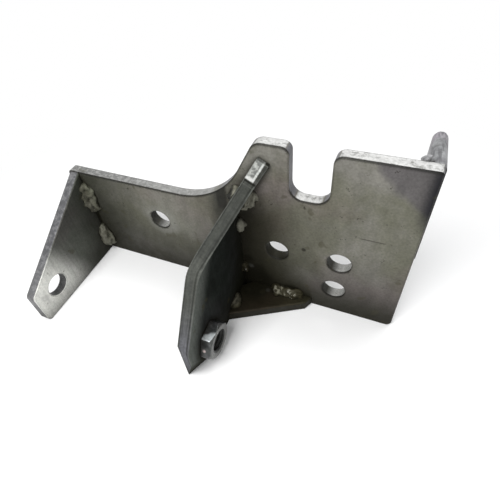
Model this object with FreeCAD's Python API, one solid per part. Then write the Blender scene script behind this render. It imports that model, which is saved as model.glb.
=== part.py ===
import FreeCAD, Part
import math
import os

from FreeCAD import Vector

# Welded sheet bracket. A long back plate carries an ear at its left end, a folded rib with a weld nut
# near its middle, a flat gusset in the corner behind the rib and a lug on its rear face.
# While it is built, X = 0 is the ear's inner face, Y = 0 the back plate's front face and Z = 0 the
# bottom edge that the bracket stands on. At the end the model moves to the middle of its base.

os.makedirs("parts", exist_ok=True)

# Sheet
sheet = 4.0
edge_break = 0.35
tolerance = 0.01

# Back plate, seen from the front
plate_right = 119.0
plate_overhang = 1.3
wing_height = 40.4
tab_rise = 25.0
tab_left = 71.6
tab_side_lean = 28.0
wing_curve_radius = 27.0
tab_left_radius = 4.0
tab_right_radius = 2.4
tab_width = 10.2
notch_width = 11.8
notch_depth = 16.9
notch_corner_radius = 4.4
notch_shoulder_radius = 2.8
plate_corner_radius = 0.8
plate_end_radius = 1.5
plate_foot_radius = 2.0

# Screw holes in the back plate
screw_hole_radius = 3.95
hole_row_height = 25.6
left_hole_drop = 1.0
wing_hole_x = 31.8
left_hole_x = 77.8
right_hole_x = 98.7
low_hole_x = 98.0
low_hole_height = 11.9

# Pivot line through the ear, the rib and the weld nut
pivot_reach = 30.9
pivot_height = 9.8
pivot_hole_radius = 4.3

# Ear
ear_nose = 10.7
ear_end_height = 14.0
ear_corner_radius = 2.0

# Folded rib
rib_left = 61.0
rib_nose = 11.7
rib_end_height = 17.5
rib_corner_radius = 5.0
rib_end_rake = 1.2
rib_foot_cut_run = 10.6
rib_foot_cut_rise = 12.0
rib_knee_reach = 27.6
rib_knee_radius = 9.0
fold_drop = 0.4
fold_lean = 29.5
fold_inner_radius = 9.0
tail_shoulder_drop = 12.2
tail_shoulder_reach = 2.4
tail_top_drop = 4.2
tail_top_reach = 1.2

# Weld nut on the rib
nut_across_flats = 12.0
nut_height = 3.8
nut_bore_radius = 3.4
nut_mouth_radius = 4.1
nut_chamfer_rise = 0.9
nut_face_share = 0.98
nut_turn = 7.0

# Gusset in the lower corner
gusset_rib_leg = 17.2
gusset_plate_leg = 26.0
gusset_tip_width = 3.2
gusset_tip_set_back = 1.6
gusset_tip_radius = 0.8
gusset_inner_clip = 3.0

# Lug behind the right end
lug_overhang = 0.6
lug_reach = 25.6
lug_root_drop = 0.4
lug_end_drop = 6.1
lug_root_depth = 35.0
lug_end_depth = 10.3
lug_end_radius = 4.0
lug_end_bevel = 1.2

# Weld beads: start and length along the joint, and leg on each plate
ear_weld_leg = 3.6
ear_upper_weld_drop = 4.4
ear_upper_weld_length = 14.5
ear_lower_weld_start = 2.0
ear_lower_weld_length = 12.5
rib_upper_weld_leg = 3.8
rib_upper_weld_start = 0.6
rib_upper_weld_length = 8.5
rib_middle_weld_leg = 3.0
rib_middle_weld_drop = 3.6
rib_middle_weld_length = 6.0
rib_left_weld_leg = 3.4
rib_left_weld_start = 0.3
rib_left_weld_length = 8.5
rib_low_weld_leg = 2.6
rib_low_weld_start = 9.0
rib_low_weld_length = 5.5
gusset_weld_leg = 3.2
gusset_plate_weld_start = 10.5
gusset_plate_weld_length = 12.5
gusset_rib_weld_start = 7.5
gusset_rib_weld_length = 7.0
lug_weld_leg = 4.0
lug_weld_rise = 1.6
lug_weld_length = 18.0

# Sizes that follow from those above
plate_height = wing_height + tab_rise
plate_left = -sheet - plate_overhang
notch_left = tab_left + tab_width
notch_right = notch_left + notch_width
notch_bottom = plate_height - notch_depth
pivot_y = -pivot_reach
ear_reach = pivot_reach + ear_nose
rib_right = rib_left + sheet
rib_reach = pivot_reach + rib_nose
fold_height = wing_height - fold_drop
lug_root_top = plate_height - lug_root_drop
lug_end_top = plate_height - lug_end_drop
ear_upper_weld_start = wing_height - ear_upper_weld_drop - ear_upper_weld_length
rib_middle_weld_start = fold_height - rib_middle_weld_drop - rib_middle_weld_length


def front(x, z):
    """A point on the back plate's front face."""
    return Vector(x, 0, z)


def side(y, z):
    """A point in the plane X = 0."""
    return Vector(0, y, z)


def floor(x, y):
    """A point in the plane Z = 0."""
    return Vector(x, y, 0)


def rounded_edges(corners, place, closed=True):
    """Straight edges through the corners (a, b, radius), joined by tangent arcs."""
    count = len(corners)
    edges = []
    last_end = None
    first_start = None
    for index in range(count):
        a, b, radius = corners[index]
        here = Vector(a, b, 0)
        if not closed and index in (0, count - 1):
            start, end = here, here
            arc = None
        else:
            before = Vector(*corners[index - 1][:2], 0)
            after = Vector(*corners[(index + 1) % count][:2], 0)
            to_before = (before - here).normalize()
            to_after = (after - here).normalize()
            half_angle = to_before.getAngle(to_after) / 2
            if radius > 0:
                set_back = radius / math.tan(half_angle)
                start = here + to_before * set_back
                end = here + to_after * set_back
                inward = (to_before + to_after).normalize()
                middle = here + inward * (radius / math.sin(half_angle) - radius)
                arc = Part.Arc(place(*start[:2]), place(*middle[:2]), place(*end[:2])).toShape()
            else:
                start, end = here, here
                arc = None
        if last_end is None:
            first_start = start
        else:
            edges.append(Part.LineSegment(place(*last_end[:2]), place(*start[:2])).toShape())
        if arc:
            edges.append(arc)
        last_end = end
    if closed:
        edges.append(Part.LineSegment(place(*last_end[:2]), place(*first_start[:2])).toShape())
    return edges


def flat_plate(corners, place, thickness):
    """A flat sheet: the rounded outline in a plane, pushed along the thickness vector."""
    outline = Part.Wire(rounded_edges(corners, place))
    return Part.Face(outline).extrude(thickness)


def drill(x, y, z, radius, axis):
    """A cutter for a hole through one sheet, centred on the sheet's middle."""
    length = 3 * sheet
    start = Vector(x, y, z) - axis * (length / 2)
    return Part.makeCylinder(radius, length, start, axis)


def break_edges(shape, keep):
    """Takes the sharpness off a sheet's edges, apart from those that keep() says are seated."""
    chosen = []
    for edge in shape.Edges:
        middle = edge.valueAt((edge.FirstParameter + edge.LastParameter) / 2)
        if not keep(edge, middle):
            chosen.append(edge)
    return shape.makeChamfer(edge_break, chosen)


def across(edge, axis):
    """True for an edge that runs straight through the sheet's thickness."""
    first, last = edge.Vertexes[0].Point, edge.Vertexes[-1].Point
    run = last - first
    return abs(abs(run.dot(axis)) - sheet) < tolerance and run.cross(axis).Length < tolerance


def make_back_plate():
    side_run = (plate_height - wing_height) * math.tan(math.radians(tab_side_lean))
    corners = [
        (plate_left, 0, plate_end_radius),
        (plate_right, 0, plate_foot_radius),
        (plate_right, plate_height, plate_corner_radius),
        (notch_right, plate_height, notch_shoulder_radius),
        (notch_right, notch_bottom, notch_corner_radius),
        (notch_left, notch_bottom, notch_corner_radius),
        (notch_left, plate_height, tab_right_radius),
        (tab_left, plate_height, tab_left_radius),
        (tab_left - side_run, wing_height, wing_curve_radius),
        (plate_left, wing_height, plate_end_radius),
    ]
    plate = flat_plate(corners, front, Vector(0, sheet, 0))
    holes = [
        (wing_hole_x, hole_row_height),
        (left_hole_x, hole_row_height - left_hole_drop),
        (right_hole_x, hole_row_height),
        (low_hole_x, low_hole_height),
    ]
    for x, z in holes:
        plate = plate.cut(drill(x, sheet / 2, z, screw_hole_radius, Vector(0, 1, 0)))
    return break_edges(plate, lambda edge, middle: across(edge, Vector(0, 1, 0)))


def make_ear():
    corners = [
        (0, 0, 0),
        (0, wing_height, 0),
        (-ear_reach, ear_end_height, ear_corner_radius),
        (-ear_reach, 0, ear_corner_radius),
    ]
    ear = flat_plate(corners, side, Vector(-sheet, 0, 0))
    ear = ear.cut(drill(-sheet / 2, pivot_y, pivot_height, pivot_hole_radius, Vector(1, 0, 0)))
    return break_edges(ear, lambda edge, middle: across(edge, Vector(1, 0, 0)) or middle.y > -tolerance)


def end_cut():
    """A cutter that rakes the rib's front end back towards its left face."""
    corners = [
        (rib_right, -rib_reach, 0),
        (rib_left, -rib_reach + rib_end_rake, 0),
        (rib_left, -rib_reach, 0),
    ]
    return flat_plate(corners, floor, Vector(0, 0, fold_height))


def foot_cut():
    """A cutter for the rib's lower front corner, cut slantwise from its right face."""
    left = Vector(rib_left, -rib_reach + rib_end_rake, 0)
    high = Vector(rib_right, -rib_reach, rib_foot_cut_rise)
    low = Vector(rib_right, -rib_reach + rib_foot_cut_run, 0)
    middle = (left + high + low) / 3
    corners = [middle + (point - middle) * 4 for point in (left, high, low)]
    outward = (high - left).cross(low - left).normalize()
    if outward.z > 0:
        outward = -outward
    face = Part.Face(Part.makePolygon(corners + corners[:1]))
    return face.extrude(outward * rib_reach)


def make_rib():
    lean = math.radians(fold_lean)
    top_rise = plate_height - fold_height
    section = [
        (rib_left, 0, 0),
        (rib_left, fold_height, fold_inner_radius + sheet),
        (rib_left + top_rise * math.tan(lean), plate_height, 0),
    ]
    spine = Part.Wire(rounded_edges(section, front, closed=False))
    skin = spine.extrude(Vector(0, -rib_reach, 0))
    outline = [
        (0, 0, 0),
        (0, plate_height - tail_top_drop, 0),
        (-tail_top_reach, plate_height - tail_top_drop, 0),
        (-tail_shoulder_reach, plate_height - tail_shoulder_drop, 0),
        (-rib_knee_reach, fold_height, rib_knee_radius),
        (-rib_reach, rib_end_height, rib_corner_radius),
        (-rib_reach, 0, 0),
    ]
    blank = flat_plate(outline, side, Vector(plate_right, 0, 0))
    trimmed = skin.common(blank)
    trimmed = Part.Shell(trimmed.Faces)
    rib = trimmed.makeOffsetShape(-sheet, tolerance / 10, fill=True)
    rib = Part.Solid(rib.Shells[0]) if rib.ShapeType != "Solid" else rib
    if rib.Volume < 0:
        rib.reverse()
    rib = rib.cut(end_cut())
    rib = rib.cut(foot_cut())
    return rib.cut(drill(rib_left + sheet / 2, pivot_y, pivot_height, pivot_hole_radius, Vector(1, 0, 0)))


def make_weld_nut():
    corner_radius = nut_across_flats / 2 / math.cos(math.radians(30))
    points = []
    for step in range(7):
        angle = math.radians(60 * step + nut_turn)
        y = pivot_y + corner_radius * math.cos(angle)
        z = pivot_height + corner_radius * math.sin(angle)
        points.append(Vector(rib_right, y, z))
    hexagon = Part.Face(Part.makePolygon(points)).extrude(Vector(nut_height, 0, 0))
    seat = Vector(rib_right, pivot_y, pivot_height)
    along = Vector(1, 0, 0)
    flat_radius = nut_across_flats / 2
    straight = nut_height - nut_chamfer_rise
    crown = Part.makeCylinder(corner_radius, straight, seat, along)
    nose = Part.makeCone(corner_radius, flat_radius * nut_face_share, nut_chamfer_rise, seat + along * straight, along)
    body = hexagon.common(crown.fuse(nose))
    body = body.cut(Part.makeCylinder(nut_bore_radius, nut_height, seat, along))
    mouth_depth = nut_mouth_radius - nut_bore_radius
    mouth = Part.makeCone(nut_bore_radius, nut_mouth_radius, mouth_depth,
                          seat + along * (nut_height - mouth_depth), along)
    return body.cut(mouth)


def make_gusset():
    tip_x = rib_right + gusset_plate_leg
    corners = [
        (rib_right, -gusset_inner_clip, 0),
        (rib_right, -gusset_rib_leg, 0),
        (tip_x - gusset_tip_set_back, -gusset_tip_width, gusset_tip_radius),
        (tip_x, 0, 0),
        (rib_right + gusset_inner_clip, 0, 0),
    ]
    gusset = flat_plate(corners, floor, Vector(0, 0, sheet))

    def seated(edge, middle):
        on_plate = middle.y > -tolerance
        on_rib = middle.x < rib_right + tolerance
        return on_plate or on_rib or across(edge, Vector(0, 0, 1))

    return break_edges(gusset, seated)


def make_lug():
    rear = sheet
    corners = [
        (rear, lug_root_top - lug_root_depth, 0),
        (rear + lug_reach, lug_end_top - lug_end_depth, lug_end_radius),
        (rear + lug_reach, lug_end_top, lug_end_radius),
        (rear, lug_root_top, 0),
    ]
    lug = flat_plate(corners, side, Vector(-sheet, 0, 0))
    lug.translate(Vector(plate_right + lug_overhang, 0, 0))
    ends = [edge for edge in lug.Edges if min(v.Point.y for v in edge.Vertexes) > rear + lug_reach - tolerance]
    uprights = [edge for edge in ends if not across(edge, Vector(1, 0, 0))]
    lug = lug.makeChamfer(lug_end_bevel, uprights)
    return break_edges(lug, lambda edge, middle: across(edge, Vector(1, 0, 0)) or middle.y < rear + tolerance)


def make_bead(start, along, first_leg, second_leg, length, leg):
    """A weld in a square corner: a quarter of a round-ended bar, seated on both plates."""
    near = start + along * leg
    far = start + along * (length - leg)
    bar = Part.makeCylinder(leg, (far - near).Length, near, along)
    bar = bar.fuse(Part.makeSphere(leg, near, along))
    bar = bar.fuse(Part.makeSphere(leg, far, along))
    corner = [start, start + first_leg * leg * 2, start + (first_leg + second_leg) * leg * 2,
              start + second_leg * leg * 2, start]
    quarter = Part.Face(Part.makePolygon(corner)).extrude(along * length)
    return bar.common(quarter).removeSplitter()


def make_beads():
    left, right = Vector(-1, 0, 0), Vector(1, 0, 0)
    forward, back = Vector(0, -1, 0), Vector(0, 1, 0)
    up, down = Vector(0, 0, 1), Vector(0, 0, -1)
    turn = FreeCAD.Rotation(Vector(0, 1, 0), fold_lean)
    up_lean, right_lean, left_lean = turn.multVec(up), turn.multVec(right), turn.multVec(left)
    bend = math.radians(fold_lean)
    set_back = (fold_inner_radius + sheet) * math.tan(bend / 2)
    left_fold = front(rib_left, fold_height) + up_lean * set_back
    right_fold = left_fold + right_lean * sheet
    gusset_top = Vector(rib_right, 0, sheet)
    lug_left = plate_right + lug_overhang - sheet
    lug_weld_top = Vector(lug_left, sheet, lug_root_top + lug_weld_rise)
    return {
        "ear_weld_upper": make_bead(front(0, ear_upper_weld_start), up, right, forward,
                                    ear_upper_weld_length, ear_weld_leg),
        "ear_weld_lower": make_bead(front(0, ear_lower_weld_start), up, right, forward,
                                    ear_lower_weld_length, ear_weld_leg),
        "rib_weld_upper": make_bead(right_fold + up_lean * rib_upper_weld_start, up_lean, right_lean,
                                    forward, rib_upper_weld_length, rib_upper_weld_leg),
        "rib_weld_middle": make_bead(front(rib_right, rib_middle_weld_start), up, right, forward,
                                     rib_middle_weld_length, rib_middle_weld_leg),
        "rib_weld_left": make_bead(left_fold + up_lean * rib_left_weld_start, up_lean, left_lean,
                                   forward, rib_left_weld_length, rib_left_weld_leg),
        "rib_weld_low": make_bead(front(rib_right, rib_low_weld_start), up, right, forward,
                                  rib_low_weld_length, rib_low_weld_leg),
        "gusset_weld_plate": make_bead(gusset_top + right * gusset_plate_weld_start, right, forward,
                                       up, gusset_plate_weld_length, gusset_weld_leg),
        "gusset_weld_rib": make_bead(gusset_top + forward * gusset_rib_weld_start, forward, right,
                                     up, gusset_rib_weld_length, gusset_weld_leg),
        "lug_weld": make_bead(lug_weld_top, down, left, back, lug_weld_length, lug_weld_leg),
    }


def base_centre():
    """The middle of the bracket's footprint, which becomes the origin."""
    low_x, high_x = plate_left, plate_right + lug_overhang
    low_y, high_y = -max(ear_reach, rib_reach), sheet + lug_reach
    return Vector((low_x + high_x) / 2, (low_y + high_y) / 2, 0)


def main():
    nodes = {
        "back_plate": make_back_plate(),
        "end_ear": make_ear(),
        "folded_rib": make_rib(),
        "weld_nut": make_weld_nut(),
        "corner_gusset": make_gusset(),
        "rear_lug": make_lug(),
    }
    nodes.update(make_beads())
    for name, shape in nodes.items():
        shape.translate(-base_centre())
        shape.exportStep("parts/%s.step" % name)
        box = shape.BoundBox
        print("%-18s %-8s valid %s volume %8.1f  X %7.2f %7.2f  Y %7.2f %7.2f  Z %6.2f %6.2f" % (
            name, shape.ShapeType, shape.isValid(), shape.Volume,
            box.XMin, box.XMax, box.YMin, box.YMax, box.ZMin, box.ZMax))


main()
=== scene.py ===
import math

import bmesh
import bpy
from mathutils import Matrix, Vector


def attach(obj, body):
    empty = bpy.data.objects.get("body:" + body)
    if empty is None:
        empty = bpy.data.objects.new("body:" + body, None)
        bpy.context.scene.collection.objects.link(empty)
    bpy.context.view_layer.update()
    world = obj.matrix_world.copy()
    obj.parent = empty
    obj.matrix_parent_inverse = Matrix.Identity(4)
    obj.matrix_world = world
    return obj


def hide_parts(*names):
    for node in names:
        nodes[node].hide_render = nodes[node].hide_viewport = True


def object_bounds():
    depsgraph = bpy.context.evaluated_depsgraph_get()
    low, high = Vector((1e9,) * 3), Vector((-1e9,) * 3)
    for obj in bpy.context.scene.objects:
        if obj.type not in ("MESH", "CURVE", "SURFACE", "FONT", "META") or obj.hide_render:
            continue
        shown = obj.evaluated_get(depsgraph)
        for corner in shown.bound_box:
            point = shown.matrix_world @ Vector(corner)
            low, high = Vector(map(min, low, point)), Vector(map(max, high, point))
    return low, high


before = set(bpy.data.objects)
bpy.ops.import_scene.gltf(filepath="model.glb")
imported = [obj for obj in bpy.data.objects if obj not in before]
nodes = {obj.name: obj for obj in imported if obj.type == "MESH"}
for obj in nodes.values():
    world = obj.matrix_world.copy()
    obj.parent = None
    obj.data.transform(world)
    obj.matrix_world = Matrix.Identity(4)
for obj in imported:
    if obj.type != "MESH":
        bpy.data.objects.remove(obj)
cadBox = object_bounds()
scene = bpy.context.scene
mm = 0.001
print("frame loaded,", len(nodes), "nodes")


def pieceEnd(name, axis, end):
    # where a CAD piece starts (min) or stops (max) along an axis, in mm
    places = [vertex.co["xyz".index(axis)] for vertex in nodes[name].data.vertices]
    return round(end(places) / mm, 3)


# faces that meet and the part's top, taken from the CAD, then the plate's holes (x, z), all in mm
plateFront = pieceEnd("back_plate", "y", min)
plateRear = pieceEnd("back_plate", "y", max)
sheet = plateRear - plateFront
midSheet = (plateFront + plateRear) / 2
earFace = pieceEnd("end_ear", "x", max)
ribLeft = pieceEnd("folded_rib", "x", min)
ribRight = pieceEnd("corner_gusset", "x", min)
gussetTop = pieceEnd("corner_gusset", "z", max)
lugFace = pieceEnd("rear_lug", "x", min)
partTop = round(cadBox[1][2] / mm, 3)
holes = {"wing": (-25.35, 25.6), "left": (20.65, 24.6), "right": (41.55, 25.6), "low": (40.85, 11.9)}
holeReach = 5.2


def newMaterial(name):
    material = bpy.data.materials.new(name)
    material.use_nodes = True
    tree = material.node_tree
    return material, tree, tree.nodes["Principled BSDF"]


def feed(tree, socket, value):
    # a number, a tuple or another node's output into a socket
    if isinstance(value, bpy.types.NodeSocket):
        tree.links.new(value, socket)
    elif isinstance(value, tuple) and len(value) == 3 and socket.type == "RGBA":
        socket.default_value = (*value, 1.0)
    elif value is not None:
        socket.default_value = value


def calc(tree, operation, a, b=None, clamp=False):
    node = tree.nodes.new("ShaderNodeMath")
    node.operation = operation
    node.use_clamp = clamp
    feed(tree, node.inputs[0], a)
    feed(tree, node.inputs[1], b)
    return node.outputs[0]


def vectorCalc(tree, operation, a, b=None):
    node = tree.nodes.new("ShaderNodeVectorMath")
    node.operation = operation
    feed(tree, node.inputs[0], a)
    feed(tree, node.inputs["Scale" if operation == "SCALE" else 1], b)
    return node.outputs["Value"] if operation in ("DOT_PRODUCT", "DISTANCE") else node.outputs["Vector"]


def noise(tree, coordinate, scale, detail=4.0, roughness=0.55, distortion=0.0):
    node = tree.nodes.new("ShaderNodeTexNoise")
    feed(tree, node.inputs["Vector"], coordinate)
    node.inputs["Scale"].default_value = scale
    node.inputs["Detail"].default_value = detail
    node.inputs["Roughness"].default_value = roughness
    node.inputs["Distortion"].default_value = distortion
    return node.outputs["Fac"]


def step(tree, value, low, high, toLow=0.0, toHigh=1.0):
    # soft step of value, toLow at low and toHigh at high
    node = tree.nodes.new("ShaderNodeMapRange")
    node.interpolation_type = "SMOOTHSTEP"
    for name, number in (("From Min", low), ("From Max", high), ("To Min", toLow), ("To Max", toHigh)):
        node.inputs[name].default_value = number
    feed(tree, node.inputs["Value"], value)
    return node.outputs["Result"]


def blend(tree, factor, a, b, kind="MIX"):
    node = tree.nodes.new("ShaderNodeMix")
    node.data_type = "RGBA"
    node.blend_type = kind
    feed(tree, node.inputs[0], factor)
    feed(tree, node.inputs[6], a)
    feed(tree, node.inputs[7], b)
    return node.outputs[2]


def stretched(tree, coordinate, scale):
    node = tree.nodes.new("ShaderNodeMapping")
    feed(tree, node.inputs["Vector"], coordinate)
    node.inputs["Scale"].default_value = scale
    return node.outputs[0]


def roundedNormal(tree, reach):
    # the normal that a worn edge of this reach would have, in mm
    node = tree.nodes.new("ShaderNodeBevel")
    node.samples = 6
    node.inputs["Radius"].default_value = reach * mm
    return node.outputs["Normal"]


# rims that wander and the broken flecks of painted glint on welds, with the shift in mm
rimLook = {"scale": 90.0, "detail": 3.0, "shift": 7.0, "glintFleckScale": 650.0, "glintFleckEdge": (0.53, 0.64)}


class Surface:
    # where a point of the steel lies and which way it faces, and the masks made of that, in mm
    def __init__(self, tree):
        self.tree = tree
        where = tree.nodes.new("ShaderNodeTexCoord")
        self.position = where.outputs["Object"]
        split = tree.nodes.new("ShaderNodeSeparateXYZ")
        feed(tree, split.inputs[0], self.position)
        self.x, self.y, self.z = split.outputs
        turned = tree.nodes.new("ShaderNodeSeparateXYZ")
        feed(tree, turned.inputs[0], where.outputs["Normal"])
        self.nx, self.ny, self.nz = turned.outputs
        # a position that wanders, for rims that aren't smooth
        wander = tree.nodes.new("ShaderNodeTexNoise")
        feed(tree, wander.inputs["Vector"], self.position)
        wander.inputs["Scale"].default_value = rimLook["scale"]
        wander.inputs["Detail"].default_value = rimLook["detail"]
        shift = vectorCalc(tree, "SUBTRACT", wander.outputs["Color"], (0.5, 0.5, 0.5))
        shift = vectorCalc(tree, "SCALE", shift, rimLook["shift"] * mm)
        self.ragged = vectorCalc(tree, "ADD", self.position, shift)

    def calc(self, operation, a, b=None):
        return calc(self.tree, operation, a, b)

    def step(self, value, low, high, toLow=0.0, toHigh=1.0):
        return step(self.tree, value, low, high, toLow, toHigh)

    def noise(self, scale, detail=4.0, roughness=0.55):
        return noise(self.tree, self.position, scale, detail, roughness)

    def both(self, mask, *others):
        for other in others:
            mask = calc(self.tree, "MULTIPLY", mask, other, clamp=True)
        return mask

    def flip(self, mask):
        return calc(self.tree, "SUBTRACT", 1.0, mask, clamp=True)

    def within(self, start, place, reach, soft):
        away = vectorCalc(self.tree, "DISTANCE", start, tuple(c * mm for c in place))
        return self.step(away, reach * mm, (reach + soft) * mm, 1.0, 0.0)

    def near(self, place, reach, soft):
        # 1 inside reach of a place, 0 beyond reach + soft, with a ragged rim
        return self.within(self.ragged, place, reach, soft)

    def spot(self, place, reach, soft):
        # the same with a clean rim, for small marks
        return self.within(self.position, place, reach, soft)

    def glintFlecks(self, place, reach, soft):
        # broken flecks of painted glint round a place
        broken = self.step(self.noise(rimLook["glintFleckScale"], 2.0, 0.6), *rimLook["glintFleckEdge"])
        return self.both(self.near(place, reach, soft), broken)

    def above(self, axis, low, high):
        # 0 below low and 1 above high along one axis
        return self.step(getattr(self, axis), low * mm, high * mm)

    def below(self, axis, low, high):
        return self.flip(self.above(axis, low, high))

    def between(self, axis, low, lowFull, highFull, high):
        return self.both(self.above(axis, low, lowFull), self.below(axis, highFull, high))

    def thinLine(self, value, middle, half, soft):
        # 1 within half of a value, 0 beyond soft
        away = self.calc("ABSOLUTE", self.calc("SUBTRACT", value, middle * mm))
        return self.step(away, half * mm, soft * mm, 1.0, 0.0)

    def facing(self, axis, low, high):
        return self.step(getattr(self, "n" + axis), low, high)

    def edgeOn(self, axis, low, high):
        # 1 on faces that look along neither end of an axis
        return self.flip(self.step(self.calc("ABSOLUTE", getattr(self, "n" + axis)), low, high))

    def frontFace(self):
        return self.flip(self.facing("y", -0.7, -0.3))


# what all zinc pieces share: soft steps as low and high, then what they give if not 0 and 1,
# the tint's size beside the cloud's, how soft and deep a pit is, and how the roughness spreads
zincSteps = {
    "cloud": (0.36, 0.66), "tint": (0.42, 0.62), "streak": (0.3, 0.7, 0.9, 1.1), "grain": (0.25, 0.75),
    "dots": (0.66, 0.72), "arris": (0.80, 0.985, 1.0, 0.0), "patches": (0.35, 0.6, 0.6, 1.0),
    # cornerShadeRough: how much rougher the surface is under the painted corner shade
    "rough": (0.3, 0.7), "roughSpread": 0.08, "cornerShadeRough": 0.2, "tintSize": 0.6, "pitSoft": 0.05,
    "pitDip": 0.8,
}


def zincSteel(name, look):
    # zinc-coated steel: mottled and faintly tinted, with dark pits, painted shade in corners and a painted
    # highlight or shade line on arrises, as each look sets
    material, tree, shader = newMaterial(name)
    at = Surface(tree)

    cloud = step(tree, noise(tree, at.position, look["cloudScale"], 6.0, 0.62, 0.4), *zincSteps["cloud"])
    colour = blend(tree, cloud, look["tone"], look["toneTwo"])
    tintScale = look["cloudScale"] * zincSteps["tintSize"]
    tint = step(tree, noise(tree, at.ragged, tintScale, 3.0), *zincSteps["tint"])
    colour = blend(tree, at.calc("MULTIPLY", tint, look["tintAmount"]), colour, look["tint"], "MULTIPLY")

    for wash in look["washes"]:
        mask = at.calc("MULTIPLY", wash["where"](at), wash["amount"])
        if wash.get("frontOnly"):
            mask = at.both(mask, at.frontFace())
        colour = blend(tree, mask, colour, wash["colour"])

    # streaks of the rolled sheet and fine grain
    drawn = stretched(tree, at.position, look["streakScale"])
    streak = step(tree, noise(tree, drawn, 1.0, 3.0), *zincSteps["streak"])
    fine = at.noise(look["grainScale"], 2.0)
    grain = step(tree, fine, *zincSteps["grain"], 1.0 - look["grain"], 1.0 + look["grain"])
    grained = tree.nodes.new("ShaderNodeHueSaturation")
    feed(tree, grained.inputs["Color"], colour)
    feed(tree, grained.inputs["Value"], at.calc("MULTIPLY", streak, grain))
    colour = grained.outputs["Color"]

    # dark pits and larger brown dots
    pitFull = look["pitEdge"] + zincSteps["pitSoft"]
    pits = step(tree, at.noise(look["pitScale"], 3.0, 0.7), look["pitEdge"], pitFull)
    colour = blend(tree, at.calc("MULTIPLY", pits, look["pitDepth"]), colour, look["pitTone"])
    dots = step(tree, at.noise(look["dotScale"], 1.5, 0.6), *zincSteps["dots"])
    colour = blend(tree, at.calc("MULTIPLY", dots, look["dotDepth"]), colour, look["dotTone"])

    # painted highlight or painted shade along the arrises, as each look sets, found where a rounded normal
    # leaves the flat one
    rounded = roundedNormal(tree, look["arrisWidth"])
    flat = tree.nodes.new("ShaderNodeNewGeometry").outputs["True Normal"]
    arris = step(tree, vectorCalc(tree, "DOT_PRODUCT", rounded, flat), *zincSteps["arris"])
    patchy = step(tree, at.noise(look["patchScale"], 3.0), *zincSteps["patches"])
    arrisLightShade = at.calc("MULTIPLY", at.both(arris, patchy), look["arrisAmount"])
    colour = blend(tree, arrisLightShade, colour, look["arris"])

    # painted shade that gathers in corners, from the occlusion there
    corners = tree.nodes.new("ShaderNodeAmbientOcclusion")
    corners.samples = 8
    corners.inputs["Distance"].default_value = look["cornerShadeReach"] * mm
    cornerShade = step(tree, corners.outputs["AO"], look["cornerShadeFull"], look["cornerShadeNone"], 1.0, 0.0)
    colour = blend(tree, at.calc("MULTIPLY", cornerShade, look["cornerShadeAmount"]), colour, look["cornerShade"])
    feed(tree, shader.inputs["Base Color"], colour)

    shader.inputs["Metallic"].default_value = look["metallic"]
    shader.inputs["Specular IOR Level"].default_value = look["shine"]
    smoothest = look["rough"] - zincSteps["roughSpread"]
    roughest = look["rough"] + zincSteps["roughSpread"]
    rough = step(tree, at.noise(look["roughScale"]), *zincSteps["rough"], smoothest, roughest)
    inCornerShade = at.calc("MULTIPLY", cornerShade, zincSteps["cornerShadeRough"])
    feed(tree, shader.inputs["Roughness"], at.calc("ADD", rough, inCornerShade))
    bump = tree.nodes.new("ShaderNodeBump")
    bump.inputs["Strength"].default_value = look["bump"]
    bump.inputs["Distance"].default_value = look["bumpDepth"] * mm
    waves = at.calc("MULTIPLY", at.noise(look["waveScale"], 3.0), look["waves"])
    uneven = at.calc("ADD", at.noise(look["bumpScale"], 3.0), waves)
    sunk = at.calc("MULTIPLY", pits, zincSteps["pitDip"])
    feed(tree, bump.inputs["Height"], at.calc("SUBTRACT", uneven, sunk))
    feed(tree, bump.inputs["Normal"], rounded)
    feed(tree, shader.inputs["Normal"], bump.outputs["Normal"])
    return material


def dress(name, material):
    mesh = nodes[name].data
    mesh.materials.clear()
    mesh.materials.append(material)


def cutEdge(at):
    # faces across the plate's sheet, which look neither to the front nor to the rear
    return at.edgeOn("y", 0.2, 0.5)


def edgeGrain(at, low, high):
    # the bright flecks that a shear leaves on a cut edge
    return at.step(at.noise(620.0, 3.0, 0.7), low, high)


def upEdge(at):
    return at.facing("z", 0.8, 0.9)


def underEdge(at, reach):
    # the front face just below an edge, where a rounded normal starts to lean up
    split = at.tree.nodes.new("ShaderNodeSeparateXYZ")
    feed(at.tree, split.inputs[0], roundedNormal(at.tree, reach))
    return at.both(at.step(split.outputs[2], 0.12, 0.32), at.frontFace())


def holeWall(at, *names):
    # the inside of holes in the plate, a little wider than they are
    walls = [at.spot((holes[name][0], midSheet, holes[name][1]), holeReach, 0.4) for name in names]
    reached = walls[0]
    for wall in walls[1:]:
        reached = at.calc("MAXIMUM", reached, wall)
    return at.both(reached, cutEdge(at))
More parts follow.
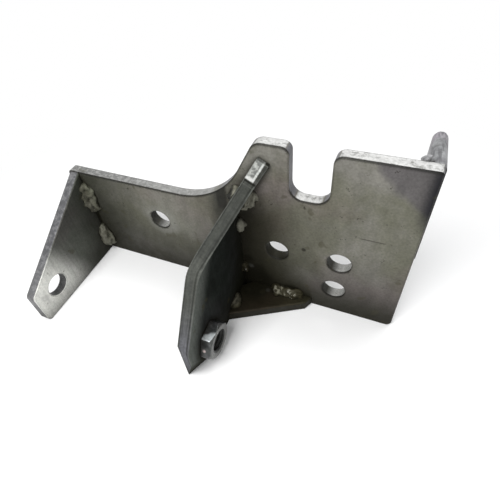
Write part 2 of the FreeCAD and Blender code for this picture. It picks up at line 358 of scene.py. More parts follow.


# back plate: grey-green face, cut edges painted bright where they look up on tab and right end, duller on
# the wing
backPlate = {
    "tone": (0.118, 0.117, 0.088), "toneTwo": (0.178, 0.172, 0.152), "cloudScale": 42.0,
    "tint": (1.0, 0.90, 0.98), "tintAmount": 0.9,
    "streakScale": (260.0, 900.0, 90.0), "grain": 0.12, "grainScale": 1500.0,
    "pitTone": (0.02, 0.018, 0.012), "pitScale": 520.0, "pitEdge": 0.66, "pitDepth": 0.75,
    "dotTone": (0.045, 0.042, 0.022), "dotScale": 210.0, "dotDepth": 0.45,
    "arris": (0.026, 0.025, 0.022), "arrisAmount": 1.0, "arrisWidth": 0.9, "patchScale": 420.0,
    # painted shade in corners: its colour, reach, occlusion at full and at none, and amount
    "cornerShade": (0.012, 0.011, 0.006), "cornerShadeReach": 20.0, "cornerShadeFull": 0.35, "cornerShadeNone": 0.88, "cornerShadeAmount": 0.85,
    "metallic": 0.25, "shine": 0.15, "rough": 0.46, "roughScale": 300.0,
    "bump": 0.4, "bumpDepth": 0.05, "bumpScale": 900.0, "waves": 2.0, "waveScale": 170.0,
    "washes": [
        # painted shade: darker towards the foot, near the ear, and on both sides of the rib
        {"where": lambda at: at.below("z", -2, 38), "colour": (0.018, 0.017, 0.011), "amount": 0.93},
        {"where": lambda at: at.below("x", -56, -26),
         "colour": (0.032, 0.033, 0.026), "amount": 0.8, "frontOnly": True},
        {"where": lambda at: at.both(at.between("x", 4, 8, 14, 36), at.below("z", 34, 56)),
         "colour": (0.022, 0.020, 0.012), "amount": 0.85, "frontOnly": True},
        {"where": lambda at: at.both(at.between("x", -4, 1, 3.5, 5), at.below("z", 44, 56)),
         "colour": (0.034, 0.034, 0.029), "amount": 0.8, "frontOnly": True},
        {"where": lambda at: at.both(at.between("x", 0.2, 1.1, 3.5, 5), at.above("z", 37.5, 39.5)),
         "colour": (0.014, 0.014, 0.012), "amount": 0.8, "frontOnly": True},
        # black in the corner over the gusset, painted shade on top of the weld's burn, with a small painted
        # grey glint
        {"where": lambda at: at.near((12.0, plateFront, 6.0), 4.5, 5.5),
         "colour": (0.003, 0.0025, 0.0015), "amount": 0.93, "frontOnly": True},
        {"where": lambda at: at.near((9.2, plateFront, 16.0), 1.6, 1.8),
         "colour": (0.004, 0.0035, 0.002), "amount": 0.8, "frontOnly": True},
        {"where": lambda at: at.spot((10.6, plateFront, 13.0), 0.4, 1.1),
         "colour": (0.16, 0.16, 0.15), "amount": 0.8, "frontOnly": True},
        # dark open joint between the two welds of the ear
        {"where": lambda at: at.both(at.below("x", -56.5, -55.8), at.between("z", 12, 14, 21, 24)),
         "colour": (0.005, 0.005, 0.003), "amount": 0.95, "frontOnly": True},
        # pale patch and a pale ring round the wing's hole
        {"where": lambda at: at.near((-17, plateFront, 31), 4, 10),
         "colour": (0.205, 0.205, 0.180), "amount": 0.25, "frontOnly": True},
        {"where": lambda at: at.near((holes["wing"][0], plateFront, holes["wing"][1]), holeReach, 4),
         "colour": (0.24, 0.24, 0.22), "amount": 0.35, "frontOnly": True},
        # dull purple-grey patch across the right end's top corner, near black beside its right edge higher
        # up, and painted shade on the lower right
        {"where": lambda at: at.near((63, plateFront, 67.5), 14, 2.5),
         "colour": (0.085, 0.079, 0.082), "amount": 0.85, "frontOnly": True},
        {"where": lambda at: at.both(at.above("x", 28, 52), at.below("z", 2, 18)),
         "colour": (0.020, 0.019, 0.014), "amount": 0.5, "frontOnly": True},
        {"where": lambda at: at.both(at.above("x", 58, 61.8), at.above("z", 43, 54), at.flip(cutEdge(at))),
         "colour": (0.006, 0.006, 0.010), "amount": 0.95, "frontOnly": True},
        # one deep pit and a scratch right of the rib
        {"where": lambda at: at.spot((29.9, plateFront, 28.3), 0.5, 0.5),
         "colour": (0.02, 0.018, 0.012), "amount": 0.9, "frontOnly": True},
        {"where": lambda at: at.both(at.near((50.2, plateFront, 38.9), 3.6, 1.0),
                                     at.thinLine(at.z, 38.9, 0.10, 0.32)),
         "colour": (0.06, 0.055, 0.045), "amount": 0.8, "frontOnly": True},
        # painted shade: a dark line on the front face below the cut edges
        {"where": lambda at: underEdge(at, 1.1), "colour": (0.006, 0.006, 0.005), "amount": 0.85},
        # painted light: cut edges that look up are lighter, bright and flecked right of the rib, duller on
        # the wing
        {"where": lambda at: at.both(upEdge(at), at.above("x", 6, 18)),
         "colour": (0.27, 0.27, 0.26), "amount": 1.0},
        {"where": lambda at: at.both(upEdge(at), at.above("x", 6, 18), at.above("z", 38, 42),
                                     edgeGrain(at, 0.36, 0.5)),
         "colour": (0.52, 0.52, 0.51), "amount": 0.9},
        {"where": lambda at: at.both(upEdge(at), at.below("x", 6, 18)),
         "colour": (0.16, 0.16, 0.156), "amount": 1.0},
        {"where": lambda at: at.both(upEdge(at), at.below("x", 6, 18), at.above("x", -42, -18)),
         "colour": (0.28, 0.28, 0.27), "amount": 0.6},
        {"where": lambda at: at.both(upEdge(at), at.below("x", 6, 18), at.above("z", 30, 34),
                                     edgeGrain(at, 0.45, 0.6)),
         "colour": (0.34, 0.34, 0.33), "amount": 0.65},
        # cut edges that look sideways; the walls of the holes painted lit on the side that faces the light
        # and shaded on the other, the left hole's wall all in painted shade
        {"where": lambda at: at.both(at.flip(at.facing("z", 0.7, 0.85)), cutEdge(at)),
         "colour": (0.15, 0.15, 0.16), "amount": 0.9},
        {"where": lambda at: at.both(holeWall(at, "wing", "right", "low"),
                                     at.flip(at.facing("x", -0.45, 0.5))),
         "colour": (0.46, 0.46, 0.44), "amount": 0.9},
        {"where": lambda at: at.both(holeWall(at, "wing", "right", "low"), at.facing("x", -0.15, 0.7)),
         "colour": (0.035, 0.034, 0.028), "amount": 0.85},
        {"where": lambda at: holeWall(at, "left"), "colour": (0.012, 0.011, 0.006), "amount": 1.0},
    ],
}
dress("back_plate", zincSteel("plateZinc", backPlate))


def earSlope(at, low, high):
    # 0 to 1 across a line that falls towards the ear's front, as its upper edge does
    fall = 1.76
    return at.step(at.calc("ADD", at.z, at.calc("MULTIPLY", at.y, fall)), low * mm, high * mm)


# ear: inner face dark in painted shade, painted light on its lower third, dull purple-grey cut edge
endEar = dict(
    backPlate, tone=(0.058, 0.063, 0.052), toneTwo=(0.085, 0.09, 0.076), cloudScale=50.0, pitEdge=0.68,
    pitDepth=0.5, washes=[
        # painted light on the lower third, below a line that falls towards the ear's front
        {"where": lambda at: at.flip(earSlope(at, -32, -4)), "colour": (0.68, 0.68, 0.64), "amount": 0.94},
        {"where": lambda at: at.both(at.above("y", 5.5, 6.2), at.facing("x", 0.3, 0.7),
                                     at.between("z", 12, 14, 21, 24)),
         "colour": (0.005, 0.005, 0.003), "amount": 0.95},
        {"where": lambda at: at.near((earFace, -31.6, 10.1), 1.2, 1.2),
         "colour": (0.42, 0.42, 0.40), "amount": 0.5},
        {"where": lambda at: at.edgeOn("x", 0.3, 0.7), "colour": (0.088, 0.088, 0.093), "amount": 0.95},
        {"where": lambda at: at.both(at.edgeOn("x", 0.3, 0.7), edgeGrain(at, 0.45, 0.62)),
         "colour": (0.20, 0.20, 0.205), "amount": 0.6},
    ])
dress("end_ear", zincSteel("earZinc", endEar))

# where the rib's tail starts on its left face (x, z), and where its front edge leans back (y, z)
ribTail = {
    "foot": (5.683, 43.24), "lean": 29.5, "nose": (pieceEnd("folded_rib", "y", min), 17.5), "noseLean": 33.2,
    "streaksAcross": 1500.0, "streaksAlong": 130.0,
}


def ribWay(at, alongX, alongZ):
    # distance from the tail's foot along a direction
    foot = ribTail["foot"]
    return at.calc("ADD", at.calc("MULTIPLY", at.calc("SUBTRACT", at.x, foot[0] * mm), alongX),
                   at.calc("MULTIPLY", at.calc("SUBTRACT", at.z, foot[1] * mm), alongZ))


def fromRibLeft(at):
    # distance from the rib's left face, on the upright part and on the leaning tail
    lean = math.radians(ribTail["lean"])
    upright = at.calc("SUBTRACT", at.x, ribLeft * mm)
    return at.calc("MINIMUM", upright, ribWay(at, math.cos(lean), -math.sin(lean)))


def acrossRib(at, low, high):
    return at.step(fromRibLeft(at), low * mm, high * mm)


def tailEnd(at, low, high):
    # 0 to 1 along the leaning tail, in mm from its foot
    lean = math.radians(ribTail["lean"])
    return at.step(ribWay(at, math.sin(lean), math.cos(lean)), low * mm, high * mm)


def ribStreaks(at):
    # streaks drawn out along the band
    place = at.tree.nodes.new("ShaderNodeCombineXYZ")
    feed(at.tree, place.inputs[0], at.calc("MULTIPLY", fromRibLeft(at), ribTail["streaksAcross"]))
    feed(at.tree, place.inputs[1], at.calc("MULTIPLY", at.z, ribTail["streaksAlong"]))
    return at.step(noise(at.tree, place.outputs[0], 1.0, 3.0), 0.45, 0.62)


def behindNose(at, low, high):
    # 0 to 1 with the distance behind the rib's front edge, upright below and sloping back above
    nose = ribTail["nose"]
    lean = math.radians(ribTail["noseLean"])
    back = at.calc("SUBTRACT", at.y, nose[0] * mm)
    slope = at.calc("SUBTRACT", at.calc("MULTIPLY", back, math.cos(lean)),
                    at.calc("MULTIPLY", at.calc("SUBTRACT", at.z, nose[1] * mm), math.sin(lean)))
    return at.step(at.calc("MINIMUM", back, slope), low * mm, high * mm)


def ribEdge(at):
    return at.edgeOn("x", 0.55, 0.8)


# folded rib: near black broad face in painted shade, dark streaked cut edge, bright tail end
foldedRib = dict(
    backPlate, tone=(0.012, 0.014, 0.012), toneTwo=(0.022, 0.025, 0.023), cloudScale=60.0, pitEdge=0.68,
    # arrises painted as a highlight, and a little less painted shade in corners
    pitDepth=0.5, arris=(0.19, 0.20, 0.18), arrisAmount=0.7, arrisWidth=0.8, cornerShadeAmount=0.8, rough=0.45,
    metallic=0.1, shine=0.0, washes=[
        # painted shade easing towards the front: paler and greenish there
        {"where": lambda at: at.both(at.facing("x", 0.5, 0.8), at.flip(behindNose(at, 0.0, 9.0))),
         "colour": (0.125, 0.135, 0.122), "amount": 0.85},
        # cut edge: dark above, purple-grey towards the foot
        {"where": lambda at: at.edgeOn("x", 0.3, 0.7), "colour": (0.076, 0.079, 0.070), "amount": 0.9},
        {"where": lambda at: at.both(at.edgeOn("x", 0.3, 0.7), at.below("z", 16, 34)),
         "colour": (0.125, 0.125, 0.140), "amount": 0.85},
        # painted light on the foot's down-facing cut
        {"where": lambda at: at.both(at.flip(at.facing("z", -0.6, -0.3)), at.below("z", 12, 13)),
         "colour": (0.28, 0.28, 0.27), "amount": 0.8},
        # streaks along the band, a dark line near each side and a painted highlight line on the right arris
        {"where": lambda at: at.both(ribEdge(at), ribStreaks(at)),
         "colour": (0.040, 0.041, 0.040), "amount": 0.45},
        {"where": lambda at: at.both(at.flip(acrossRib(at, 0.35, 0.75)), ribEdge(at)),
         "colour": (0.030, 0.031, 0.028), "amount": 0.75},
        {"where": lambda at: at.both(acrossRib(at, 2.8, 3.2), at.flip(acrossRib(at, 3.45, 3.6)),
                                     ribEdge(at)),
         "colour": (0.026, 0.027, 0.024), "amount": 0.65},
        {"where": lambda at: at.both(acrossRib(at, 3.5, 3.7), ribEdge(at),
                                     at.step(at.noise(160.0, 2.0), 0.35, 0.6)),
         "colour": (0.15, 0.16, 0.14), "amount": 0.6},
        # the tail's bright end, with a painted highlight line along it, a painted glint where it starts and
        # a strip of painted shade along its right side
        {"where": lambda at: at.both(tailEnd(at, 13.4, 13.7), ribEdge(at)),
         "colour": (0.17, 0.175, 0.165), "amount": 0.95},
        {"where": lambda at: at.both(tailEnd(at, 13.4, 13.7), ribEdge(at), edgeGrain(at, 0.42, 0.62)),
         "colour": (0.50, 0.51, 0.48), "amount": 0.7},
        {"where": lambda at: at.both(tailEnd(at, 13.4, 13.7), ribEdge(at),
                                     at.thinLine(fromRibLeft(at), 2.45, 0.15, 0.4)),
         "colour": (0.62, 0.64, 0.61), "amount": 0.6},
        {"where": lambda at: at.both(tailEnd(at, 13.2, 13.6), at.flip(tailEnd(at, 14.2, 14.9)), ribEdge(at)),
         "colour": (0.68, 0.68, 0.66), "amount": 0.8},
        {"where": lambda at: at.both(tailEnd(at, 12.6, 13.2), ribEdge(at), acrossRib(at, 2.75, 2.95)),
         "colour": (0.030, 0.030, 0.026), "amount": 0.92},
        {"where": lambda at: at.both(tailEnd(at, 12.3, 12.7), at.flip(tailEnd(at, 13.0, 13.3)), ribEdge(at)),
         "colour": (0.012, 0.012, 0.010), "amount": 0.8},
    ])
dress("folded_rib", zincSteel("ribZinc", foldedRib))

# gusset: brown and dirty from the weld, black in painted shade at its inner corner
cornerGusset = dict(
    backPlate, tone=(0.016, 0.013, 0.007), toneTwo=(0.032, 0.027, 0.016), cloudScale=120.0, shine=0.1,
    washes=[
        {"where": lambda at: at.above("x", 16, 34), "colour": (0.040, 0.037, 0.020), "amount": 0.8},
        # painted shade, black in the inner corner
        {"where": lambda at: at.near((13.0, 6.0, gussetTop), 4.5, 5),
         "colour": (0.003, 0.0025, 0.0015), "amount": 0.93},
        {"where": lambda at: at.spot((17.7, 4.2, gussetTop), 0.4, 0.8),
         "colour": (0.11, 0.11, 0.10), "amount": 0.8},
        {"where": lambda at: at.flip(at.facing("z", 0.3, 0.7)),
         "colour": (0.035, 0.034, 0.028), "amount": 0.8},
    ])
dress("corner_gusset", zincSteel("gussetZinc", cornerGusset))


def lugStreaks(at):
    drawn = stretched(at.tree, at.position, rearLug["edgeStreaks"])
    return at.step(noise(at.tree, drawn, 1.0, 3.0), 0.5, 0.62)


# lug: pale, streaked cut edge
rearLug = dict(
    backPlate, tone=(0.16, 0.16, 0.165), toneTwo=(0.28, 0.285, 0.29), cloudScale=190.0,
    streakScale=(900.0, 120.0, 120.0), edgeStreaks=(700.0, 90.0, 160.0), arrisAmount=0.8, washes=[
        {"where": lugStreaks, "colour": (0.09, 0.09, 0.095), "amount": 0.75},
    ])
dress("rear_lug", zincSteel("lugZinc", rearLug))
print("plates dressed")


# weld nut with a chamfered crown and a cut thread, as turned rings round its axis
weldNut = {
    "seat": (ribRight, -24.4, 9.8), "acrossFlats": 12.0, "height": 3.8, "turn": 7.0, "turns": 144,
    "cornerFlat": 0.12, "seatBevel": 0.15, "middle": 0.55, "faceRadius": 5.88, "chamferRise": 0.9,
    "bore": 3.4, "mouth": 4.1, "mouthWidth": 0.1, "mouthDrop": 0.04, "darkFrom": 0.1, "darkFull": 0.15,
    "sharpAngle": 28.0,
    "pitch": 1.25, "threadDepth": 0.55, "threadRows": 26, "threadStart": 0.5, "threadFade": 0.4,
}


def nutMesh(look):
    seat = Vector(look["seat"])
    height = look["height"]
    flatHalf = look["acrossFlats"] / 2
    corner = flatHalf / math.cos(math.radians(30))
    face = look["faceRadius"]
    mesh = bmesh.new()
    rings = []

    def ring(profile):
        made = []
        for index in range(look["turns"]):
            angle = math.tau * index / look["turns"]
            radius, rise = profile(angle)
            spin = angle + math.radians(look["turn"])
            point = seat + Vector((rise, radius * math.cos(spin), radius * math.sin(spin)))
            made.append(mesh.verts.new(point * mm))
        rings.append(made)

    def hexRadius(angle):
        inSide = (angle % math.radians(60)) - math.radians(30)
        return min(flatHalf / math.cos(inSide), corner - look["cornerFlat"])

    def crownRise(angle):
        return height - (hexRadius(angle) - face) * look["chamferRise"] / (corner - face)

    def threaded(rise):
        def profile(angle):
            phase = (rise / look["pitch"] - angle / math.tau) % 1.0
            groove = 1 - abs(2 * phase - 1)
            fade = min(1.0, (height - rise) / look["threadFade"])
            return look["bore"] + look["threadDepth"] * groove * fade, rise
        return profile

    # up the six flats and over the crown to the mouth of the bore
    ring(lambda angle: (hexRadius(angle) - look["seatBevel"], 0.0))
    ring(lambda angle: (hexRadius(angle), look["seatBevel"]))
    ring(lambda angle: (hexRadius(angle), crownRise(angle) * look["middle"]))
    ring(lambda angle: (hexRadius(angle), crownRise(angle)))
    ring(lambda angle: ((hexRadius(angle) + face) / 2, (crownRise(angle) + height) / 2))
    ring(lambda angle: (face, height))
    ring(lambda angle: (look["mouth"] + look["mouthWidth"], height))
    ring(lambda angle: (look["mouth"], height - look["mouthDrop"]))
    # down the thread to the seat
    rows = look["threadRows"]
    for row in range(rows + 1):
        ring(threaded((height - look["threadStart"]) * (1 - row / rows)))
    for lower, upper in zip(rings, rings[1:] + rings[:1]):
        for index in range(look["turns"]):
            after = (index + 1) % look["turns"]
            mesh.faces.new((lower[index], lower[after], upper[after], upper[index]))
    bmesh.ops.recalc_face_normals(mesh, faces=mesh.faces)
    for edge in mesh.edges:
        edge.smooth = edge.calc_face_angle(0.0) < math.radians(look["sharpAngle"])
    for side in mesh.faces:
        side.smooth = True
    data = bpy.data.meshes.new("threadedNut")
    mesh.to_mesh(data)
    mesh.free()
    return data


def boreDepth(at):
    # 1 inside the nut's bore, measured from its axis
    ofAxis = vectorCalc(at.tree, "MULTIPLY", at.position, (0.0, 1.0, 1.0))
    seat = weldNut["seat"]
    fromAxis = vectorCalc(at.tree, "DISTANCE", ofAxis, (0.0, seat[1] * mm, seat[2] * mm))
    full = weldNut["mouth"] - weldNut["darkFull"]
    none = weldNut["mouth"] + weldNut["darkFrom"]
    return at.step(fromAxis, full * mm, none * mm, 1.0, 0.0)


nutLook = dict(
    backPlate, tone=(0.018, 0.021, 0.020), toneTwo=(0.085, 0.09, 0.088), cloudScale=190.0, metallic=0.4,
    shine=0.3, rough=0.32, bump=0.3, arris=(0.35, 0.36, 0.36), arrisAmount=0.45, arrisWidth=0.25,
    # painted shade in the nut's corners: reach and amount
    cornerShadeReach=5.0, cornerShadeAmount=0.75, washes=[
        # duller grey front face, a painted reflection as a bright patch on the upper flat's front half, a
        # small painted glint, painted shade in the bore
        {"where": lambda at: at.facing("x", 0.6, 0.9), "colour": (0.105, 0.106, 0.098), "amount": 0.75},
        {"where": lambda at: at.both(at.near((9.8, -28.9, 15.4), 2.6, 1.2), upEdge(at)),
         "colour": (0.60, 0.64, 0.65), "amount": 0.95},
        {"where": lambda at: at.both(at.spot((9.2, -30.3, 11.5), 0.25, 0.55),
                                     at.flip(at.facing("x", 0.5, 0.8))),
         "colour": (0.75, 0.62, 0.60), "amount": 0.9},
        {"where": boreDepth, "colour": (0.006, 0.006, 0.005), "amount": 0.95},
    ])
nut = bpy.data.objects.new("threadedNut", nutMesh(weldNut))
nut.data.materials.append(zincSteel("nutZinc", nutLook))
scene.collection.objects.link(nut)
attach(nut, "root")
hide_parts("weld_nut")
print("nut turned")


# weld beads: one tree lays a lumpy, rippled fillet along a joint between two plates
weldBead = {
    "rows": 130, "columns": 17, "flatness": 0.648, "endRound": 0.9, "fill": 0.92,
    "lump": 1.7, "lumpMiddle": 0.55, "lumpPace": 240.0, "lumpTurn": 1.5, "lumpDetail": 1.2, "seedPace": 3.7,
    "rippleSpacing": 3.4, "rippleDepth": 0.135, "rippleBow": 1.3, "rippleWander": 1.4, "rippleEdge": 0.7,
    "mergeReach": 0.01, "sliver": 0.002,
}
toRight = Vector((1, 0, 0))
toLeft = Vector((-1, 0, 0))
toFront = Vector((0, -1, 0))
toRear = Vector((0, 1, 0))
toTop = Vector((0, 0, 1))
toFoot = Vector((0, 0, -1))
tailLean = math.radians(ribTail["lean"])
upTail = Vector((math.sin(tailLean), 0.0, math.cos(tailLean)))
rightOfTail = Vector((math.cos(tailLean), 0.0, -math.sin(tailLean)))
tailFoot = Vector((ribTail["foot"][0], plateFront, ribTail["foot"][1]))
beads = {
    "ear_weld_upper": {"start": (earFace, plateFront, 21.5), "along": toTop,
                       "first": toRight, "second": toFront, "length": 14.5, "leg": 4.2, "seed": 3},
    "ear_weld_lower": {"start": (earFace, plateFront, 2.0), "along": toTop,
                       "first": toRight, "second": toFront, "length": 12.5, "leg": 4.8, "seed": 8},
    "rib_weld_upper": {"start": tailFoot + rightOfTail * sheet + upTail * 0.3, "along": upTail,
                       "first": rightOfTail, "second": toFront, "length": 8.5, "leg": 3.8, "seed": 5},
    "rib_weld_middle": {"start": (ribRight, plateFront, 30.4), "along": toTop,
                        "first": toRight, "second": toFront, "length": 6.0, "leg": 3.0, "seed": 12},
    "rib_weld_left": {"start": tailFoot, "along": upTail, "first": -rightOfTail, "second": toFront,
                      "length": 7.0, "leg": 2.6, "seed": 21},
    "rib_weld_low": {"start": (ribRight, plateFront, 9.0), "along": toTop,
                     "first": toRight, "second": toFront, "length": 5.5, "leg": 2.6, "seed": 14},
    "gusset_weld_plate": {"start": (18.35, plateFront, gussetTop), "along": toRight, "first": toFront,
                          "second": toTop, "length": 12.5, "leg": 4.4, "seed": 31},
    "gusset_weld_rib": {"start": (ribRight, -1.0, gussetTop), "along": toFront, "first": toRight,
                        "second": toTop, "length": 7.0, "leg": 3.2, "seed": 17},
    "lug_weld": {"start": (lugFace, plateRear, partTop), "along": toFoot, "first": toLeft, "second": toRear,
                 "length": 18.0, "leg": 4.0, "seed": 26},
}


def beadTree(look):
    tree = bpy.data.node_groups.new("weldBead", "GeometryNodeTree")
    tree.interface.new_socket("Geometry", in_out="OUTPUT", socket_type="NodeSocketGeometry")
    for name in ("Start", "Along", "First Leg", "Second Leg"):
        tree.interface.new_socket(name, in_out="INPUT", socket_type="NodeSocketVector")
    for name in ("Length", "Leg", "Flatness", "Ripple Spacing", "Ripple Depth", "Lump", "Seed"):
        tree.interface.new_socket(name, in_out="INPUT", socket_type="NodeSocketFloat")
    tree.interface.new_socket("Material", in_out="INPUT", socket_type="NodeSocketMaterial")
    given = tree.nodes.new("NodeGroupInput").outputs
    result = tree.nodes.new("NodeGroupOutput")

    def plus(a, b):
        return calc(tree, "ADD", a, b)

    def minus(a, b, clamp=False):
        return calc(tree, "SUBTRACT", a, b, clamp)

    def times(a, b):
        return calc(tree, "MULTIPLY", a, b)

    def lower(a, b, clamp=False):
        return calc(tree, "MINIMUM", a, b, clamp)

    grid = tree.nodes.new("GeometryNodeMeshGrid")
    grid.inputs["Size X"].default_value = 1.0
    grid.inputs["Size Y"].default_value = 1.0
    grid.inputs["Vertices X"].default_value = look["rows"]
    grid.inputs["Vertices Y"].default_value = look["columns"]
    split = tree.nodes.new("ShaderNodeSeparateXYZ")
    feed(tree, split.inputs[0], tree.nodes.new("GeometryNodeInputPosition").outputs[0])
    last = look["columns"] - 1.0
    run = times(plus(split.outputs[0], 0.5), given["Length"])
    column = times(plus(split.outputs[1], 0.5), last)

    # first and last columns lie on the joint's line, the others fan out from leg to leg
    angle = times(calc(tree, "DIVIDE", minus(column, 1.0), last - 2.0, clamp=True), math.pi / 2)
    offJoint = lower(lower(column, minus(last, column)), 1.0, clamp=True)
    cosine = calc(tree, "COSINE", angle)
    sine = calc(tree, "SINE", angle)

    # both ends of the bead are rounded
    toEnd = lower(run, minus(given["Length"], run))
    endShare = calc(tree, "DIVIDE", toEnd, times(given["Leg"], look["endRound"]), clamp=True)
    fromFull = minus(1.0, endShare)
    rounded = calc(tree, "SQRT", minus(1.0, times(fromFull, fromFull), clamp=True))

    # lumps from seeded noise, read along the run and round the bead
    place = tree.nodes.new("ShaderNodeCombineXYZ")
    feed(tree, place.inputs[0], times(run, look["lumpPace"]))
    feed(tree, place.inputs[1], times(angle, look["lumpTurn"]))
    feed(tree, place.inputs[2], times(given["Seed"], look["seedPace"]))
    lumps = noise(tree, place.outputs[0], 1.0, look["lumpDetail"], 0.5)
    lump = times(minus(lumps, look["lumpMiddle"]), given["Lump"])

    # ripples bow backwards in the middle, as a puddle that was drawn along
    bow = times(calc(tree, "SINE", times(angle, 2.0)), look["rippleBow"])
    bent = plus(bow, times(lumps, look["rippleWander"]))
    phase = plus(calc(tree, "DIVIDE", run, given["Ripple Spacing"]), bent)
    crest = calc(tree, "ABSOLUTE", calc(tree, "SINE", times(phase, math.pi)))
    valley = times(minus(1.0, calc(tree, "POWER", crest, look["rippleEdge"])), given["Ripple Depth"])
    height = minus(plus(look["fill"], lump), valley)

    # section between a quarter round and a straight chamfer
    straight = calc(tree, "DIVIDE", 1.0, plus(cosine, sine))
    profile = plus(1.0, times(minus(straight, 1.0), given["Flatness"]))
    radius = times(times(lower(height, 1.0), given["Leg"]), profile)
    radius = times(times(radius, rounded), offJoint)

    side = vectorCalc(tree, "ADD", vectorCalc(tree, "SCALE", given["First Leg"], cosine),
                      vectorCalc(tree, "SCALE", given["Second Leg"], sine))
    place = vectorCalc(tree, "ADD", given["Start"], vectorCalc(tree, "SCALE", given["Along"], run))
    place = vectorCalc(tree, "ADD", place, vectorCalc(tree, "SCALE", side, radius))
    move = tree.nodes.new("GeometryNodeSetPosition")
    feed(tree, move.inputs["Geometry"], grid.outputs["Mesh"])
    feed(tree, move.inputs["Position"], place)
    merge = tree.nodes.new("GeometryNodeMergeByDistance")
    feed(tree, merge.inputs["Geometry"], move.outputs["Geometry"])
    merge.inputs["Distance"].default_value = look["mergeReach"] * mm
    soft = tree.nodes.new("GeometryNodeSetShadeSmooth")
    feed(tree, soft.inputs["Geometry"], merge.outputs["Geometry"])
    realize = tree.nodes.new("GeometryNodeRealizeInstances")
    feed(tree, realize.inputs["Geometry"], soft.outputs["Geometry"])
    finish = tree.nodes.new("GeometryNodeSetMaterial")
    feed(tree, finish.inputs["Geometry"], realize.outputs["Geometry"])
    feed(tree, finish.inputs["Material"], given["Material"])
    feed(tree, result.inputs["Geometry"], finish.outputs["Geometry"])
    return tree


def plainMesh(name, tree, values):
    # the tree's result as a mesh of its own, with no modifier left
    holder = bpy.data.objects.new(name, bpy.data.meshes.new(name))
    scene.collection.objects.link(holder)
    modifier = holder.modifiers.new("made", "NODES")
    modifier.node_group = tree
    for item in tree.interface.items_tree:
        if item.item_type == "SOCKET" and item.in_out == "INPUT" and item.name in values:
            modifier[item.identifier] = values[item.name]
    made = bpy.data.meshes.new_from_object(holder.evaluated_get(bpy.context.evaluated_depsgraph_get()))
    holder.modifiers.clear()
    holder.data = made
    made.name = name
    return holder


def closeShell(mesh):
    # drops slivers and turns every face outwards
    shell = bmesh.new()
    shell.from_mesh(mesh)
    bmesh.ops.dissolve_degenerate(shell, dist=weldBead["sliver"] * mm, edges=shell.edges)
    bmesh.ops.recalc_face_normals(shell, faces=shell.faces)
    shell.to_mesh(mesh)
    shell.free()


weldLook = dict(
    backPlate, tone=(0.060, 0.058, 0.042), toneTwo=(0.125, 0.122, 0.096), cloudScale=140.0,
    tint=(0.95, 1.0, 0.93), pitDepth=0.3, dotDepth=0.2, metallic=0.2, rough=0.5, bump=0.15,
    # painted shade in the creases of the beads: reach, occlusion at full and at none, and amount
    arrisAmount=0.0, cornerShadeReach=3.0, cornerShadeFull=0.3, cornerShadeNone=0.8, cornerShadeAmount=0.6, washes=[
        # burnt brown in the corner over the gusset, with a few flecks and spots of painted glint, paler
        # higher up
        {"where": lambda at: at.both(at.above("x", 6, 8), at.below("z", 17, 30)),
         "colour": (0.026, 0.022, 0.010), "amount": 0.9},
        {"where": lambda at: at.both(at.above("x", 6, 8), at.below("z", 30, 34),
                                     at.step(at.noise(330.0, 1.0), 0.64, 0.74)),
         "colour": (0.30, 0.29, 0.24), "amount": 0.7},
        {"where": lambda at: at.both(at.above("x", 6.5, 8), at.above("z", 29, 32), at.below("x", 20, 24)),
         "colour": (0.21, 0.205, 0.165), "amount": 0.6},
        {"where": lambda at: at.glintFlecks((27.2, 3.2, 5.8), 1.5, 1.2),
         "colour": (0.50, 0.49, 0.41), "amount": 0.6},
        {"where": lambda at: at.glintFlecks((22.5, 4.4, 7.0), 1.4, 1.4),
         "colour": (0.26, 0.25, 0.19), "amount": 0.6},
        {"where": lambda at: at.glintFlecks((9.3, 4.8, 12.2), 1.2, 1.2),
         "colour": (0.55, 0.55, 0.51), "amount": 0.85},
        {"where": lambda at: at.near((8.6, -4.5, 5.5), 1.8, 1.5),
         "colour": (0.095, 0.088, 0.066), "amount": 0.7},
        # pale at the lug's foot
        {"where": lambda at: at.above("x", 40, 45), "colour": (0.34, 0.34, 0.35), "amount": 0.85},
        # painted shade left of the rib, with one painted glint
        {"where": lambda at: at.both(at.between("x", -20, -10, 6.5, 8), at.above("z", 34, 38)),
         "colour": (0.020, 0.020, 0.018), "amount": 0.9},
        {"where": lambda at: at.spot((4.2, 4.8, 46.4), 0.5, 0.8),
         "colour": (0.70, 0.70, 0.68), "amount": 0.9},
    ])
weldMaterial = zincSteel("weldMetal", weldLook)
weldTree = beadTree(weldBead)
for name, bead in beads.items():
    piece = plainMesh(name.replace("weld", "bead"), weldTree, {
        "Start": Vector(bead["start"]) * mm, "Along": bead["along"],
        "First Leg": bead["first"], "Second Leg": bead["second"],
        "Length": bead["length"] * mm, "Leg": bead["leg"] * mm, "Flatness": weldBead["flatness"],
        "Ripple Spacing": weldBead["rippleSpacing"] * mm, "Ripple Depth": weldBead["rippleDepth"],
        "Lump": weldBead["lump"], "Seed": float(bead["seed"]), "Material": weldMaterial})
    closeShell(piece.data)
    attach(piece, "root")
    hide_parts(name)
print("beads laid:", len(beads))


def whiteRays(tree):
    # what the camera, glass and metal see, for a plain white background
    rays = tree.nodes.new("ShaderNodeLightPath").outputs
    seen = calc(tree, "MAXIMUM", rays["Is Camera Ray"], rays["Is Transmission Ray"])
    return calc(tree, "MAXIMUM", seen, rays["Is Glossy Ray"])


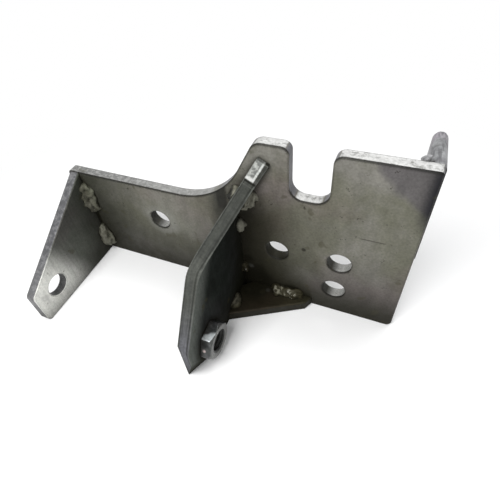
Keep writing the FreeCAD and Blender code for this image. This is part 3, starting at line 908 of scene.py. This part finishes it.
# pale floor: plain white away from the object, with the object's shadow near it
floorLook = {"reach": 3.0, "tone": (0.93, 0.93, 0.93), "toneTwo": (0.96, 0.96, 0.96), "rough": 0.9,
             "whiteFrom": 0.09, "whiteFull": 0.16}
reach = floorLook["reach"]
floorMesh = bpy.data.meshes.new("floor")
floorMesh.from_pydata([(-reach, -reach, 0), (reach, -reach, 0), (reach, reach, 0), (-reach, reach, 0)], [],
                      [(0, 1, 2, 3)])
floor = bpy.data.objects.new("floor", floorMesh)
scene.collection.objects.link(floor)
floorMaterial, floorTree, floorShader = newMaterial("paleFloor")
floorWhere = floorTree.nodes.new("ShaderNodeTexCoord").outputs["Object"]
floorTone = step(floorTree, noise(floorTree, floorWhere, 6.0), 0.3, 0.7)
floorColour = blend(floorTree, floorTone, floorLook["tone"], floorLook["toneTwo"])
feed(floorTree, floorShader.inputs["Base Color"], floorColour)
floorShader.inputs["Roughness"].default_value = floorLook["rough"]
floorAway = step(floorTree, vectorCalc(floorTree, "DISTANCE", floorWhere, (0.0, 0.0, 0.0)),
                 floorLook["whiteFrom"], floorLook["whiteFull"])
floorSeen = calc(floorTree, "MULTIPLY", whiteRays(floorTree), floorAway, clamp=True)
white = floorTree.nodes.new("ShaderNodeEmission")
lit = floorTree.nodes.new("ShaderNodeMixShader")
feed(floorTree, lit.inputs[0], floorSeen)
feed(floorTree, lit.inputs[1], floorShader.outputs[0])
feed(floorTree, lit.inputs[2], white.outputs[0])
feed(floorTree, floorTree.nodes["Material Output"].inputs["Surface"], lit.outputs[0])
floorMesh.materials.append(floorMaterial)

# world: a soft fill on the object, white behind it
studio = {"fill": 0.45, "fillTone": (0.98, 0.99, 1.0, 1.0), "white": 1.0, "whiteTone": (1.0, 1.0, 1.0, 1.0)}
world = bpy.data.worlds.new("studio")
scene.world = world
world.use_nodes = True
sky = world.node_tree
backdrop = sky.nodes["Background"]
backdrop.inputs["Color"].default_value = studio["whiteTone"]
backdrop.inputs["Strength"].default_value = studio["white"]
fill = sky.nodes.new("ShaderNodeBackground")
fill.inputs["Color"].default_value = studio["fillTone"]
fill.inputs["Strength"].default_value = studio["fill"]
mixed = sky.nodes.new("ShaderNodeMixShader")
feed(sky, mixed.inputs[0], whiteRays(sky))
feed(sky, mixed.inputs[1], fill.outputs[0])
feed(sky, mixed.inputs[2], backdrop.outputs[0])
feed(sky, sky.nodes["World Output"].inputs["Surface"], mixed.outputs[0])

# two soft lamps, with places in metres, turned towards the middle of the part
lampAim = (0.0, 0.0, 0.03)
lamps = {
    "frontSoftbox": {"at": (-0.03, -0.16, 0.26), "size": (0.16, 0.12), "power": 0.80},
    "topSoftbox": {"at": (0.10, 0.25, 0.50), "size": (0.45, 0.30), "power": 1.3},
}
for name, lamp in lamps.items():
    light = bpy.data.lights.new(name, "AREA")
    light.shape = "RECTANGLE"
    light.size, light.size_y = lamp["size"]
    light.energy = lamp["power"]
    holder = bpy.data.objects.new(name, light)
    holder.location = lamp["at"]
    holder.rotation_mode = "QUATERNION"
    holder.rotation_quaternion = (Vector(lampAim) - Vector(lamp["at"])).to_track_quat("-Z", "Y")
    scene.collection.objects.link(holder)

# camera fitted to the photograph: place in mm, its three axes, focal length and centre in pixels
photoView = {
    "at": (52.451, -78.098, 124.542), "right": (0.9129219, 0.3975874, -0.0921837),
    "up": (-0.2387394, 0.7034091, 0.6694917), "back": (0.3310244, -0.5891857, 0.7370774),
    "focal": 397.396, "centre": (235.716, 251.208), "pixels": 500.0, "sensor": 36.0, "clip": (0.005, 20.0),
}
pixels = photoView["pixels"]
cameraData = bpy.data.cameras.new("photoView")
cameraData.sensor_width = photoView["sensor"]
cameraData.lens = photoView["focal"] * photoView["sensor"] / pixels
cameraData.shift_x = (pixels / 2 - photoView["centre"][0]) / pixels
cameraData.shift_y = (photoView["centre"][1] - pixels / 2) / pixels
cameraData.clip_start, cameraData.clip_end = photoView["clip"]
camera = bpy.data.objects.new("photoView", cameraData)
turn = Matrix((photoView["right"], photoView["up"], photoView["back"])).transposed().to_4x4()
camera.matrix_world = Matrix.Translation(Vector(photoView["at"]) * mm) @ turn
scene.collection.objects.link(camera)
scene.camera = camera
scene.view_settings.view_transform = "Standard"
print("floor, lamps and camera set")
